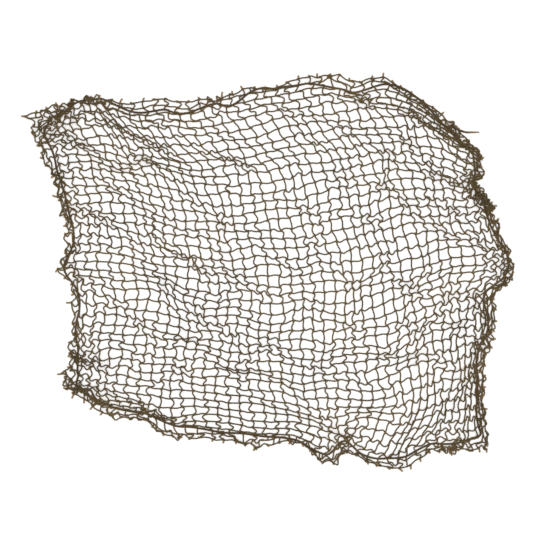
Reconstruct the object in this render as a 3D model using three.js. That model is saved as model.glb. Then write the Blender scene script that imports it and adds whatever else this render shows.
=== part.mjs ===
// A helmet net: one piece of knotted twine netting, with a drawcord threaded through the meshes
// near its cut edge. It lies loose on a flat surface, drawn up unevenly along the cord.
// Millimetres, +Z up. The origin is on the surface, under the middle of the net.
// A place on the netting is (c, r): meshes counted across from the left edge and down from the top.
import * as THREE from "three";

// The netting and its cord as they are made
const MESHES = 46; // counted each way, in whole gaps; the real piece is about 46 by 43
const MESH = 12.7; // from knot to knot along a twine
const TWINE_WIDTH = 2.2; // at its foot, under a ridge
const TWINE_HEIGHT = 1.8;
const CORD_DIAMETER = 2.5;
const CORD_SIDES = 8;
const CLEARANCE = 0.35; // between the cord and the netting under it

// The modelled gaps: each stands for a block of meshes, and only the widest ones are open
const CELL = 2; // meshes along a side of one gap
const MOST_GAPS = 300;
const CRINKLE = 2; // how far a bar bows between its knots
const SCATTER = 1.1; // how far a knot strays from the smooth lie

// The bunched parts, and how high they stand above the surface
const OPEN_SHARE = 0.66; // of its flat area, that a mesh covers where it isn't bunched
const TIGHT_SHARE = 0.11; // of its flat area, that a mesh covers in the tightest bunch
const SHEET = 1.2; // thickness where no gap is open
const BUNCH_LIFT = 4.5; // of netting drawn close together
const HEM_LIFT = 3.4; // of the netting outside the cord
const LUMPINESS = 0.45; // share of a lift that comes and goes
const STEEPEST = 0.5; // rise over run beside the cord

const FIRST = 2; // the cord's strand, counted from the left or the top
const LAST = MESHES - FIRST;
const SIDE_FADE = 5; // meshes over which the waves of a side die out

// Gives each row of a table its column names
const named = (columns, rows) =>
  rows.map((row) => Object.fromEntries(columns.map((name, i) => [name, row[i]])));

// The cord's route: the strand it crosses, where it lies, and how far the netting reaches past it
const EDGE_COLUMNS = ["at", "x", "y", "hem"];
const TOP_EDGE = named(EDGE_COLUMNS, [
  [2, -241, 168, 10],
  [5, -212, 185, 5],
  [7, -197, 189, 5],
  [10, -176, 188, 5],
  [12.3, -160, 182, 5],
  [15, -135, 174, 13],
  [17, -112, 179, 15],
  [18.7, -94, 175, 7],
  [20.5, -72, 181, 12],
  [22.3, -52, 190, 5],
  [24, -33, 183, 12],
  [25.8, -13, 197, 9],
  [27.5, 6, 197, 5],
  [29.6, 30, 201, 11],
  [31.4, 50, 207, 9],
  [33.6, 77, 205, 12],
  [35, 99, 201, 8],
  [36.8, 124, 206, 11],
  [38.4, 141, 203, 6],
  [40.2, 162, 191, 5],
  [42, 182, 175, 5],
  [44, 201, 158, 6],
]);
const RIGHT_EDGE = named(EDGE_COLUMNS, [
  [2, 201, 158, 6],
  [5, 218, 140, 6],
  [8, 231, 123, 5],
  [11, 232, 108, 5],
  [13, 227, 96, 5],
  [16, 242, 81, 5],
  [19, 250, 57, 8],
  [22, 256, 36, 6],
  [25, 265, 8, 5],
  [27, 257, -10, 11],
  [29, 244, -31, 9],
  [32, 246, -59, 6],
  [35, 237, -86, 12],
  [38, 234, -114, 9],
  [41, 235, -144, 7],
  [44, 238, -183, 8],
]);
const BOTTOM_EDGE = named(EDGE_COLUMNS, [
  [2, -197, -135, 9],
  [3.6, -180, -147, 8],
  [6, -157, -153, 8],
  [8.7, -129, -160, 8],
  [10.3, -110, -169, 6],
  [11.9, -90, -174, 8],
  [13.8, -66, -175, 9],
  [16.8, -28, -179, 9],
  [18.5, -6, -183, 10],
  [20.4, 19, -180, 9],
  [23, 52, -192, 5],
  [25, 72, -202, 9],
  [27.3, 88, -190, 8],
  [29.5, 110, -202, 6],
  [31.3, 132, -208, 9],
  [33.3, 154, -203, 13],
  [35, 171, -193, 8],
  [37, 189, -189, 10],
  [40, 215, -191, 8],
  [44, 238, -183, 10],
]);
const LEFT_EDGE = named(EDGE_COLUMNS, [
  [2, -241, 168, 10],
  [6, -240, 150, 13],
  [9, -238, 134, 11],
  [12, -235, 119, 9],
  [15, -226, 92, 5],
  [17, -221, 71, 5],
  [20, -207, 45, 10],
  [22, -211, 25, 9],
  [23.6, -216, 7, 8],
  [25.8, -205, -14, 9],
  [28, -204, -37, 10],
  [30.5, -204, -64, 8],
  [33, -205, -89, 10],
  [35.5, -206, -106, 10],
  [38, -207, -115, 15],
  [41, -206, -124, 16],
  [44, -197, -135, 11],
]);

// The tips of the netting's four corners, outside the cord
const CORNER_TIPS = {
  topLeft: { x: -270, y: 171 },
  topRight: { x: 214, y: 166 },
  bottomLeft: { x: -209, y: -147 },
  bottomRight: { x: 245, y: -197 },
};

// The lie of seven crosswise strands between the cord's two sides, each at four lengthwise strands
const STRAND_PLACES = [7, 17, 27, 37];
const STRANDS = named(["r", "x7", "y7", "x17", "y17", "x27", "y27", "x37", "y37"], [
  [7, -195, 158, -89, 136, 29, 151, 133, 178],
  [12, -176, 115, -64, 94, 52, 102, 153, 123],
  [17, -165, 58, -56, 50, 61, 52, 165, 67],
  [22, -156, 13, -43, -2, 73, 1, 178, 17],
  [27, -149, -35, -41, -52, 74, -53, 180, -34],
  [32, -152, -86, -39, -97, 78, -100, 186, -80],
  [37, -156, -127, -34, -134, 86, -146, 188, -128],
]);

// Puckers: where the meshes are drawn together, over how many of them, how much each way, how high
const PUCKERS = named(["c", "r", "wide", "tall", "pullX", "pullY", "lift"], [
  [19.8, 8.8, 2.2, 1.6, 0.35, 0.45, 3],
  [10, 9.5, 3, 2, 0.25, 0.4, 2.5],
  [39, 7, 2.5, 2, 0.3, 0.3, 3],
  [17.3, 15.5, 1.8, 1.8, 0.4, 0.3, 2],
  [12.8, 20.5, 2.2, 1.6, 0.3, 0.4, 2],
  [9.7, 24, 1.8, 1.6, 0.3, 0.4, 2],
  [28.8, 22.5, 2, 1.8, 0.4, 0.5, 3],
  [16.7, 33.5, 3.2, 1.3, 0.1, 0.6, 2.5],
  [21.8, 33.8, 1.8, 1.4, 0.3, 0.45, 2],
  [26.5, 38.5, 2.2, 1.6, 0.4, 0.4, 3],
]);

const clamp = (value, low, high) => Math.min(high, Math.max(low, value));
const mix = (a, b, share) => a + (b - a) * share;

// An even-handed irregularity between -1 and 1, the same for the same place
const uneven = (c, r, turn) =>
  0.6 * Math.sin(2.7 * c + 1.9 * r + 2.1 * turn) + 0.4 * Math.sin(4.3 * r - 3.1 * c + 0.7 * turn);

// A lift that comes and goes from place to place
const lumpy = (lift, c, r, turn) => lift * (1 - LUMPINESS + LUMPINESS * uneven(c, r, turn));

// Smooth value of one column of a table at a place along it, never past the rows on either side
function smooth(table, key, column, place) {
  const last = table.length - 1;
  let i = table.findIndex((row) => row[key] > place) - 1;
  i = i < 0 ? (place < table[0][key] ? 0 : last - 1) : i;
  const span = (k) => table[k + 1][key] - table[k][key];
  const rise = (k) => (table[k + 1][column] - table[k][column]) / span(k);
  const slope = (k) => {
    if (k === 0) return rise(0);
    if (k === last) return rise(last - 1);
    if (rise(k - 1) * rise(k) <= 0) return 0;
    const before = 2 * span(k) + span(k - 1);
    const after = span(k) + 2 * span(k - 1);
    return (before + after) / (before / rise(k - 1) + after / rise(k));
  };
  const s = (place - table[i][key]) / span(i);
  const start = table[i][column] + s * span(i) * slope(i);
  const end = table[i + 1][column] - (1 - s) * span(i) * slope(i + 1);
  return mix(start, end, s * s * (3 - 2 * s));
}

const onEdge = (edge, at) => ({
  x: smooth(edge, "at", "x", at),
  y: smooth(edge, "at", "y", at),
});

// A point of one measured crosswise strand
function onStrand(strand, c) {
  const points = [
    { c: FIRST, ...onEdge(LEFT_EDGE, strand.r) },
    ...STRAND_PLACES.map((place) => ({ c: place, x: strand[`x${place}`], y: strand[`y${place}`] })),
    { c: LAST, ...onEdge(RIGHT_EDGE, strand.r) },
  ];
  return { x: smooth(points, "c", "x", c), y: smooth(points, "c", "y", c) };
}

// The smooth lie between the cord's four sides, before the side's own waves are added
function fairLie(c, r) {
  const line = [
    { r: FIRST, ...onEdge(TOP_EDGE, c) },
    ...STRANDS.map((strand) => ({ r: strand.r, ...onStrand(strand, c) })),
    { r: LAST, ...onEdge(BOTTOM_EDGE, c) },
  ];
  return { x: smooth(line, "r", "x", r), y: smooth(line, "r", "y", r) };
}

// The lie inside the cord, with the waves of its left and right sides
function sideLie(c, r) {
  const p = fairLie(c, r);
  const sides = [
    { edge: LEFT_EDGE, from: FIRST },
    { edge: RIGHT_EDGE, from: LAST },
  ];
  for (const { edge, from } of sides) {
    const fade = clamp(1 - Math.abs(c - from) / SIDE_FADE, 0, 1);
    if (fade === 0) continue;
    const wanted = onEdge(edge, r);
    const found = fairLie(from, r);
    p.x += (wanted.x - found.x) * fade;
    p.y += (wanted.y - found.y) * fade;
  }
  return p;
}

// How strongly a pucker draws at a place, from 0 to 1
const draw = (pucker, c, r) =>
  Math.exp(-(((c - pucker.c) / pucker.wide) ** 2) - ((r - pucker.r) / pucker.tall) ** 2);

const PUCKER_HEARTS = PUCKERS.map((pucker) => sideLie(pucker.c, pucker.r));

function innerLie(c, r) {
  const p = sideLie(c, r);
  PUCKERS.forEach((pucker, i) => {
    const share = draw(pucker, c, r);
    p.x += (PUCKER_HEARTS[i].x - p.x) * pucker.pullX * share;
    p.y += (PUCKER_HEARTS[i].y - p.y) * pucker.pullY * share;
  });
  return p;
}

// How the netting stands out past the cord: half square to the cord, half square to the net's side
const SIDES = {
  top: { edge: TOP_EDGE, turn: 1, out: new THREE.Vector2(0, 1) },
  right: { edge: RIGHT_EDGE, turn: 1, out: new THREE.Vector2(1, 0) },
  bottom: { edge: BOTTOM_EDGE, turn: -1, out: new THREE.Vector2(0, -1) },
  left: { edge: LEFT_EDGE, turn: -1, out: new THREE.Vector2(-1, 0) },
};
const RUN = 2; // meshes each way over which the cord's run is taken

function hemReach(side, at) {
  const { edge, turn, out } = SIDES[side];
  const before = onEdge(edge, clamp(at - RUN, FIRST, LAST));
  const after = onEdge(edge, clamp(at + RUN, FIRST, LAST));
  const square = new THREE.Vector2(before.y - after.y, after.x - before.x);
  const reach = square.multiplyScalar(turn).normalize().add(out);
  return reach.setLength(smooth(edge, "at", "hem", at));
}

// The lie anywhere on the netting
function lie(c, r) {
  const inC = clamp(c, FIRST, LAST);
  const inR = clamp(r, FIRST, LAST);
  const p = innerLie(inC, inR);
  const outC = Math.abs(c - inC) / FIRST;
  const outR = Math.abs(r - inR) / FIRST;
  const none = { x: 0, y: 0 };
  const aside = outC > 0 ? hemReach(c < inC ? "left" : "right", inR) : none;
  const along = outR > 0 ? hemReach(r < inR ? "top" : "bottom", inC) : none;
  const tipName = (r < inR ? "top" : "bottom") + (c < inC ? "Left" : "Right");
  const tip = CORNER_TIPS[tipName];
  const corner = outC * outR;
  return {
    x: p.x + aside.x * outC + along.x * outR + (tip.x - p.x - aside.x - along.x) * corner,
    y: p.y + aside.y * outC + along.y * outR + (tip.y - p.y - aside.y - along.y) * corner,
  };
}

// How closely the netting is drawn together at a place: 0 is open, 1 is a tight bunch
function crowding(c, r) {
  const half = 1; // meshes each way
  const left = lie(clamp(c - half, 0, MESHES), r);
  const right = lie(clamp(c + half, 0, MESHES), r);
  const up = lie(c, clamp(r - half, 0, MESHES));
  const down = lie(c, clamp(r + half, 0, MESHES));
  const area = (right.x - left.x) * (up.y - down.y) - (right.y - left.y) * (up.x - down.x);
  const share = area / (2 * half * MESH) ** 2;
  return clamp((OPEN_SHARE - share) / (OPEN_SHARE - TIGHT_SHARE), 0, 1);
}

const onCordLine = (c, r) => c === FIRST || c === LAST || r === FIRST || r === LAST;
const inHem = (c, r) => c < FIRST || c > LAST || r < FIRST || r > LAST;

// The cord's line in plan, in short steps, and how high the netting may stand beside it
const STEPS_PER_MESH = 5;
const cordSteps = [...Array((LAST - FIRST) * STEPS_PER_MESH + 1).keys()];
const CORD_LINE = [TOP_EDGE, RIGHT_EDGE, BOTTOM_EDGE, LEFT_EDGE].flatMap((edge) =>
  cordSteps.map((k) => onEdge(edge, FIRST + k / STEPS_PER_MESH)),
);
const highest = (x, y) =>
  TWINE_HEIGHT + STEEPEST * Math.min(...CORD_LINE.map((p) => Math.hypot(p.x - x, p.y - y)));

// Height of a twine's ridge, low along the cord and lumpy where the netting is bunched
function ridge(c, r, x, y) {
  const lift = PUCKERS.reduce((most, pucker) => Math.max(most, pucker.lift * draw(pucker, c, r)), 0);
  const lump = lumpy(BUNCH_LIFT, c, r, 3) * crowding(c, r);
  const free = onCordLine(c, r) ? 0 : Math.max(lift, lump);
  return Math.min(TWINE_HEIGHT + free, highest(x, y));
}

// The strands that are modelled: every second one, and the cut edge
const STRAND_COUNT = MESHES / CELL + 1;
const strandAt = (i) => i * CELL;

function knotPoint(i, j) {
  const c = strandAt(i);
  const r = strandAt(j);
  const p = lie(c, r);
  const stray = onCordLine(c, r) || inHem(c, r) ? 0 : SCATTER * (1 - crowding(c, r));
  const x = p.x + stray * uneven(c, r, 1);
  const y = p.y + stray * uneven(c, r, 2);
  return new THREE.Vector3(x, y, ridge(c, r, x, y));
}

// The middle of a bar, bowed to one side or the other in turn
function barMiddle(from, to, c, r, bow) {
  const p = lie(c, r);
  const run = Math.hypot(to.x - from.x, to.y - from.y);
  const side = (bow * CRINKLE * (1 - crowding(c, r))) / run;
  const straight = onCordLine(c, r) || inHem(c, r) ? 0 : side;
  const x = p.x - (to.y - from.y) * straight;
  const y = p.y + (to.x - from.x) * straight;
  return new THREE.Vector3(x, y, ridge(c, r, x, y));
}

const count = [...Array(STRAND_COUNT).keys()];
const knots = count.map((i) => count.map((j) => knotPoint(i, j)));
const spans = count.slice(0, -1);
const acrossMiddles = spans.map((i) =>
  count.map((j) =>
    barMiddle(knots[i][j], knots[i + 1][j], strandAt(i + 0.5), strandAt(j), (i + j) % 2 ? 1 : -1),
  ),
);
const downMiddles = count.map((i) =>
  spans.map((j) =>
    barMiddle(knots[i][j], knots[i][j + 1], strandAt(i), strandAt(j + 0.5), (i + j) % 2 ? 1 : -1),
  ),
);

// The ridge line round one cell, counterclockwise from above
const cellRidge = (i, j) => [
  knots[i][j],
  downMiddles[i][j],
  knots[i][j + 1],
  acrossMiddles[i][j + 1],
  knots[i + 1][j + 1],
  downMiddles[i + 1][j],
  knots[i + 1][j],
  acrossMiddles[i][j],
];

const flat = (p) => new THREE.Vector2(p.x, p.y);
const SHARPEST = 0.6; // keeps the foot of a sharp corner near its ridge

// A closed line on the surface, a set distance inside a ridge line
function footInside(line, distance) {
  const n = line.length;
  return line.map((p, k) => {
    const before = flat(line[(k + n - 1) % n]);
    const after = flat(line[(k + 1) % n]);
    const first = flat(p).sub(before).normalize();
    const second = after.sub(flat(p)).normalize();
    const inward = new THREE.Vector2(-first.y - second.y, first.x + second.x);
    const spread = Math.max(1 + first.dot(second), SHARPEST);
    return new THREE.Vector3(
      p.x + (inward.x * distance) / spread,
      p.y + (inward.y * distance) / spread,
      0,
    );
  });
}

// The cells clear of the bunched border along the cord, widest first: the first are cut through
const cells = spans.flatMap((i) => spans.map((j) => ({ i, j, line: cellRidge(i, j) })));
const isClear = (k) => strandAt(k) > FIRST && strandAt(k + 1) < LAST;
const openCells = cells
  .filter(({ i, j }) => isClear(i) && isClear(j))
  .map((cell) => ({ ...cell, area: THREE.ShapeUtils.area(cell.line) }))
  .sort((a, b) => b.area - a.area)
  .slice(0, MOST_GAPS);
const isOpen = new Set(openCells.map(({ i, j }) => `${i},${j}`));
const closedCells = cells.filter(({ i, j }) => !isOpen.has(`${i},${j}`));

const triangles = [];
const addTriangle = (a, b, c) => triangles.push(a, b, c);

// Sloping twine flanks between a ridge line and its foot
function addFlanks(line, foot) {
  line.forEach((p, k) => {
    const next = (k + 1) % line.length;
    addTriangle(p, line[next], foot[next]);
    addTriangle(p, foot[next], foot[k]);
  });
}

// A closed cell: its ridge line filled over a lumpy middle
function addFill({ i, j, line }) {
  const middle = line.reduce((sum, p) => sum.add(p), new THREE.Vector3()).divideScalar(line.length);
  const c = strandAt(i + 0.5);
  const r = strandAt(j + 0.5);
  const wanted = inHem(c, r)
    ? TWINE_HEIGHT + lumpy(HEM_LIFT, c, r, 5)
    : SHEET + lumpy(BUNCH_LIFT, c, r, 4) * crowding(c, r);
  middle.z = Math.min(wanted, highest(middle.x, middle.y));
  line.forEach((p, k) => addTriangle(p, line[(k + 1) % line.length], middle));
}

const feet = openCells.map(({ line }) => footInside(line, TWINE_WIDTH / 2));
openCells.forEach(({ line }, k) => addFlanks(line, feet[k]));
closedCells.forEach(addFill);

// The cut edge: the ridge line round the whole netting, clockwise from above, and its foot outside it
const last = STRAND_COUNT - 1;
const rimRidge = [
  ...spans.flatMap((i) => [knots[i][0], acrossMiddles[i][0]]),
  ...spans.flatMap((j) => [knots[last][j], downMiddles[last][j]]),
  ...spans.flatMap((i) => [knots[last - i][last], acrossMiddles[last - 1 - i][last]]),
  ...spans.flatMap((j) => [knots[0][last - j], downMiddles[0][last - 1 - j]]),
];
const rimFoot = footInside(rimRidge, TWINE_WIDTH / 2);
addFlanks(rimRidge, rimFoot);

// The flat underside, from the cut edge to the open gaps
const underside = [rimFoot, ...feet].map((line) => line.map(flat));
const underPoints = [rimFoot, ...feet].flat();
for (const [a, b, c] of THREE.ShapeUtils.triangulateShape(underside[0], underside.slice(1))) {
  const turn = THREE.ShapeUtils.area([a, b, c].map((k) => flat(underPoints[k])));
  const [second, third] = turn > 0 ? [c, b] : [b, c];
  addTriangle(underPoints[a], underPoints[second], underPoints[third]);
}

const netGeometry = new THREE.BufferGeometry().setFromPoints(triangles);
netGeometry.computeVertexNormals();

// The cord: along the low line of its strand, from its short free end round to where it began
const CORD_RADIUS = CORD_DIAMETER / 2;
const SPARE = 0.4; // for the bends between two knots
const CORD_RISE = (CORD_RADIUS + CLEARANCE) * Math.hypot(1, STEEPEST) + SPARE;
const TAIL = named(["x", "y", "z"], [
  [235, 153, 1.6],
  [227, 153, 2.4],
  [217, 155, 4.4],
  [208, 157, 5.6],
]);
const cordPoint = (p) => new THREE.Vector3(p.x, p.y, p.z + CORD_RISE);
const firstKnot = FIRST / CELL;
const lastKnot = LAST / CELL;
const inCord = spans.filter((i) => i >= firstKnot && i < lastKnot);
const mirrored = inCord.map((i) => firstKnot + lastKnot - i);
const cordRound = [
  ...mirrored.flatMap((i) => [knots[i][firstKnot], acrossMiddles[i - 1][firstKnot]]),
  ...inCord.flatMap((j) => [knots[firstKnot][j], downMiddles[firstKnot][j]]),
  ...inCord.flatMap((i) => [knots[i][lastKnot], acrossMiddles[i][lastKnot]]),
  ...mirrored.flatMap((j) => [knots[lastKnot][j], downMiddles[lastKnot][j - 1]]),
];
const END_GAP = 2; // route points between the cord's second end and its first
const cordRoute = [
  ...TAIL.map(({ x, y, z }) => new THREE.Vector3(x, y, z)),
  ...cordRound.slice(0, -END_GAP).map(cordPoint),
];
const cordSection = new THREE.Shape(
  [...Array(CORD_SIDES).keys()].map((k) => {
    const angle = (2 * Math.PI * k) / CORD_SIDES;
    return new THREE.Vector2(Math.cos(angle) * CORD_RADIUS, Math.sin(angle) * CORD_RADIUS);
  }),
);
const cordGeometry = new THREE.ExtrudeGeometry(cordSection, {
  extrudePath: new THREE.CatmullRomCurve3(cordRoute, false, "centripetal"),
  steps: cordRoute.length,
  bevelEnabled: false,
});

const net = new THREE.Mesh(
  netGeometry,
  new THREE.MeshStandardMaterial({ color: 0x5c4e30, roughness: 0.95, metalness: 0 }),
);
net.name = "net";
const drawcord = new THREE.Mesh(
  cordGeometry,
  new THREE.MeshStandardMaterial({ color: 0x5a4123, roughness: 0.9, metalness: 0 }),
);
drawcord.name = "drawcord";

// Centres the whole on the origin
const helmetNet = new THREE.Group();
helmetNet.add(net, drawcord);
const extent = new THREE.Box3().setFromObject(helmetNet);
const middle = extent.getCenter(new THREE.Vector3());
helmetNet.children.forEach((mesh) => mesh.position.set(-middle.x, -middle.y, 0));

export default helmetNet;
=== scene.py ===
"""The looks of a drawn-up helmet net: knotted twine, its cut ends and the cord threaded round it.

Lengths are millimetres until a mesh is made. Places on the net are counted in meshes, as columns from
its left edge and rows from its top edge.
"""

from __future__ import annotations

import logging
import math
from dataclasses import dataclass, field
from enum import Enum
from typing import NamedTuple, TypeVar, Union

import bpy
import numpy as np
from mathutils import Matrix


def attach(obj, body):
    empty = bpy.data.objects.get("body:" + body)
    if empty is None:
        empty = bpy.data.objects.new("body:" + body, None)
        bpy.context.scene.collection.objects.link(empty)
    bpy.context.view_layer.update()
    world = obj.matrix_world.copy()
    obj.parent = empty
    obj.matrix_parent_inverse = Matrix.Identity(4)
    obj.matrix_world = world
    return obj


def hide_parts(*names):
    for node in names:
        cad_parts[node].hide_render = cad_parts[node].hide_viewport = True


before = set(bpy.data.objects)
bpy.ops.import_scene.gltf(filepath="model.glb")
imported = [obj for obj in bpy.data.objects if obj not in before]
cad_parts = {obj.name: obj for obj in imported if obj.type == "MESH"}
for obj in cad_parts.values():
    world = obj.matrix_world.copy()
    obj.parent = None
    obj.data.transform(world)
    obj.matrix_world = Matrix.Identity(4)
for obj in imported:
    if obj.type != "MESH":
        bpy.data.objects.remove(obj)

LOG = logging.getLogger("helmet_net")
Array = np.ndarray
Either = TypeVar("Either")
Wire = Union[bpy.types.NodeSocket, float]
UP = np.array([0.0, 0.0, 1.0])
TINY = 1e-9
METRES = 0.001
PIXEL = 1.1
PHOTO_SIDE = 533
PLIES = 3
BODY = "root"
BAKE_MAP = "OFBake"
LAY_MAP = "lay"
CUT_MASK = "cut"
# The Mix node's colour sockets share their names with its other sockets, so they are taken by number.
MIX_FIRST = 6
MIX_SECOND = 7
MIX_RESULT = 2


class Side(Enum):
    """A side of the net: the way out from it, and the turn from its cord's run to that way."""

    TOP = ((0.0, 1.0), 1.0)
    RIGHT = ((1.0, 0.0), 1.0)
    BOTTOM = ((0.0, -1.0), -1.0)
    LEFT = ((-1.0, 0.0), -1.0)

    @property
    def out(self) -> Array:
        """Way out from this side."""
        return np.array(self.value[0])

    @property
    def turn(self) -> float:
        """Sign of the turn from the cord's run to the way out."""
        return self.value[1]

    @property
    def crosses_rows(self) -> bool:
        """True where the cord runs down the net and so crosses its rows."""
        return self in (Side.LEFT, Side.RIGHT)

    @property
    def starts_count(self) -> bool:
        """True on the sides that the meshes are counted from."""
        return self in (Side.TOP, Side.LEFT)

    @property
    def ends(self) -> SidePair:
        """The two sides that this one runs between."""
        return (Side.TOP, Side.BOTTOM) if self.crosses_rows else (Side.LEFT, Side.RIGHT)

    def run(self, columns: Either, rows: Either) -> Either:
        """What is counted along this side, of a pair for columns and rows."""
        return rows if self.crosses_rows else columns

    def depth(self, columns: Either, rows: Either) -> Either:
        """What is counted in from this side, of a pair for columns and rows."""
        return columns if self.crosses_rows else rows


class CordPoint(NamedTuple):
    """A place on the cord by its count along the side, and how far the netting reaches past it there."""

    at: float
    x: float
    y: float
    hem: float


class Hem(NamedTuple):
    """Netting outside the cord on a side: its meshes, and how far they lean along the cord."""

    meshes: float
    lean: float


class StrandRow(NamedTuple):
    """A row's places where it crosses columns 7, 17, 27 and 37."""

    row: float
    x7: float
    y7: float
    x17: float
    y17: float
    x27: float
    y27: float
    x37: float
    y37: float


class Pucker(NamedTuple):
    """A place where meshes are drawn together, its reach in meshes and its pull each way."""

    column: float
    row: float
    wide: float
    tall: float
    pull_x: float
    pull_y: float


class EndPoint(NamedTuple):
    """A point of the cord's loose end, with its height over the floor."""

    x: float
    y: float
    z: float


class Corner(NamedTuple):
    """A corner of the net: the sides it lies between and where its tip lies."""

    across: Side
    down: Side
    x: float
    y: float


SidePair = tuple[Side, Side]
Span = tuple[float, float]
Random = np.random.Generator
BESIDE = Side.TOP.ends
LEVEL = Side.LEFT.ends
CORD_ROUTE = {
    Side.TOP: (
        CordPoint(2, -241, 168, 11),
        CordPoint(4, -231, 174, 8),
        CordPoint(6, -218, 178, 3),
        CordPoint(8.5, -200, 187, 3),
        CordPoint(11, -182, 187, 3),
        CordPoint(13.2, -160, 178, 4),
        CordPoint(15.4, -135, 174, 13),
        CordPoint(17.2, -112, 179, 15),
        CordPoint(18.7, -94, 175, 7),
        CordPoint(20.5, -72, 181, 9),
        CordPoint(22.3, -52, 186, 2),
        CordPoint(23.8, -38, 180, 2),
        CordPoint(24.6, -29, 185, 24),
        CordPoint(25.6, -15, 194, 18),
        CordPoint(26.4, -4, 198, 8),
        CordPoint(27.2, 6, 196, 3),
        CordPoint(28.5, 22, 199, 11),
        CordPoint(29.2, 30, 200, 8),
        CordPoint(30.9, 50, 206, 7),
        CordPoint(33.1, 77, 205, 12),
        CordPoint(34.9, 99, 200, 6),
        CordPoint(36.9, 122, 206, 9),
        CordPoint(38, 132, 206, 16),
        CordPoint(38.9, 140, 202, 5),
        CordPoint(40.7, 162, 190, 3),
        CordPoint(42.3, 182, 175, 5),
        CordPoint(44, 201, 158, 6),
    ),
    Side.RIGHT: (
        CordPoint(2, 201, 158, 6),
        CordPoint(5.2, 218, 140, 6),
        CordPoint(8, 231, 123, 5),
        CordPoint(10, 232, 108, 5),
        CordPoint(11.8, 227, 96, 5),
        CordPoint(14.6, 237, 81, 3),
        CordPoint(17.8, 247, 57, 5),
        CordPoint(20.5, 255, 36, 5),
        CordPoint(24, 265, 8, 6),
        CordPoint(25.8, 260, -9, 8),
        CordPoint(28.3, 244, -31, 5),
        CordPoint(30.9, 246, -59, 6),
        CordPoint(33.5, 237, -86, 6),
        CordPoint(36, 234, -114, 7),
        CordPoint(38.6, 235, -144, 5),
        CordPoint(42, 238, -183, 8),
    ),
    Side.BOTTOM: (
        CordPoint(2, -195, -127, 3),
        CordPoint(2.9, -190, -138, 7),
        CordPoint(3.8, -178, -147, 9),
        CordPoint(5.8, -157, -153, 8),
        CordPoint(8.2, -129, -159, 3),
        CordPoint(10, -110, -169, 9),
        CordPoint(11.7, -90, -174, 8),
        CordPoint(13.7, -66, -175, 9),
        CordPoint(17, -28, -179, 9),
        CordPoint(18.9, -6, -183, 10),
        CordPoint(21, 19, -180, 5),
        CordPoint(23.8, 52, -192, 5),
        CordPoint(26.2, 72, -202, 10),
        CordPoint(28.6, 88, -190, 5),
        CordPoint(31.3, 110, -202, 7),
        CordPoint(33.5, 132, -208, 8),
        CordPoint(35.7, 154, -204, 11),
        CordPoint(37.5, 171, -194, 8),
        CordPoint(39.2, 189, -189, 7),
        CordPoint(41.7, 215, -191, 6),
        CordPoint(44, 238, -183, 10),
    ),
    Side.LEFT: (
        CordPoint(2, -241, 168, 13),
        CordPoint(5, -241, 156, 13),
        CordPoint(6.6, -239, 146, 11),
        CordPoint(9.2, -235, 128, 9),
        CordPoint(13.1, -225, 97, 3),
        CordPoint(16, -219, 73, 4.5),
        CordPoint(19.2, -207, 45, 10),
        CordPoint(21.4, -211, 25, 6),
        CordPoint(23.3, -216, 7, 9),
        CordPoint(25.7, -205, -14, 7),
        CordPoint(28, -202, -37, 8),
        CordPoint(30.7, -206, -64, 4),
        CordPoint(33.4, -203, -89, 8),
        CordPoint(35.5, -206, -106, 10),
        CordPoint(36.8, -207, -115, 12),
        CordPoint(38.7, -208, -121, 10),
        CordPoint(40.2, -205, -127, 9),
        CordPoint(42, -195, -127, 5),
    ),
}
HEMS = {
    Side.TOP: Hem(1.5, 0.3),
    Side.RIGHT: Hem(2.5, 0.8),
    Side.BOTTOM: Hem(1.5, 0.8),
    Side.LEFT: Hem(1.5, 0.8),
}
STRAND_COLUMNS = (7, 17, 27, 37)
STRAND_ROWS = (
    StrandRow(7, -183, 142, -80, 132, 36, 151, 142, 160),
    StrandRow(12, -167, 103, -54, 87, 59, 100, 160, 113),
    StrandRow(17, -156, 58, -46, 37, 68, 47, 171, 65),
    StrandRow(22, -148, 13, -35, -9, 79, -6, 183, 16),
    StrandRow(27, -143, -34, -33, -55, 80, -59, 185, -32),
    StrandRow(32, -146, -81, -34, -97, 80, -106, 188, -80),
    StrandRow(37, -153, -125, -33, -136, 86, -150, 188, -135),
)
PUCKERS = (
    Pucker(3.6, 2.8, 2.2, 1.8, 0.55, 0.5),
    Pucker(19.8, 8.8, 2.2, 1.6, 0.35, 0.45),
    Pucker(10, 9.5, 3, 2, 0.25, 0.4),
    Pucker(39, 7, 2.5, 2, 0.3, 0.3),
    Pucker(17.3, 15.5, 1.8, 1.8, 0.4, 0.3),
    Pucker(12.8, 20.5, 2.2, 1.6, 0.3, 0.4),
    Pucker(9.7, 24, 1.8, 1.6, 0.3, 0.4),
    Pucker(28.8, 22.5, 2, 1.8, 0.4, 0.5),
    Pucker(16.7, 33.5, 3.2, 1.3, 0.1, 0.6),
    Pucker(21.8, 33.8, 1.8, 1.4, 0.3, 0.45),
    Pucker(26.5, 38.5, 2.2, 1.6, 0.4, 0.4),
    Pucker(43.5, 10.8, 2.2, 2.2, 0.35, 0.2),
    Pucker(43.8, 15.6, 2.0, 2.6, 0.35, 0.2),
    Pucker(44, 23.4, 2.2, 2.0, 0.35, 0.2),
    Pucker(43.6, 28.6, 2.2, 2.2, 0.35, 0.2),
    Pucker(43.6, 33, 2.4, 1.8, 0.55, 0.6),
    Pucker(43.6, 36.2, 2.4, 1.8, 0.55, 0.6),
    Pucker(8, 41.4, 2.2, 2.0, 0.55, 0.65),
    Pucker(11.4, 41.2, 2.0, 2.2, 0.55, 0.65),
    Pucker(35.2, 4, 2.0, 2.0, 0.5, 0.4),
    Pucker(39.5, 5.5, 2.2, 1.6, 0.4, 0.4),
)
CORNERS = (
    Corner(Side.LEFT, Side.TOP, -272, 167),
    Corner(Side.RIGHT, Side.TOP, 211, 156),
    Corner(Side.LEFT, Side.BOTTOM, -220, -131),
    Corner(Side.RIGHT, Side.BOTTOM, 245, -197),
)
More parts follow.
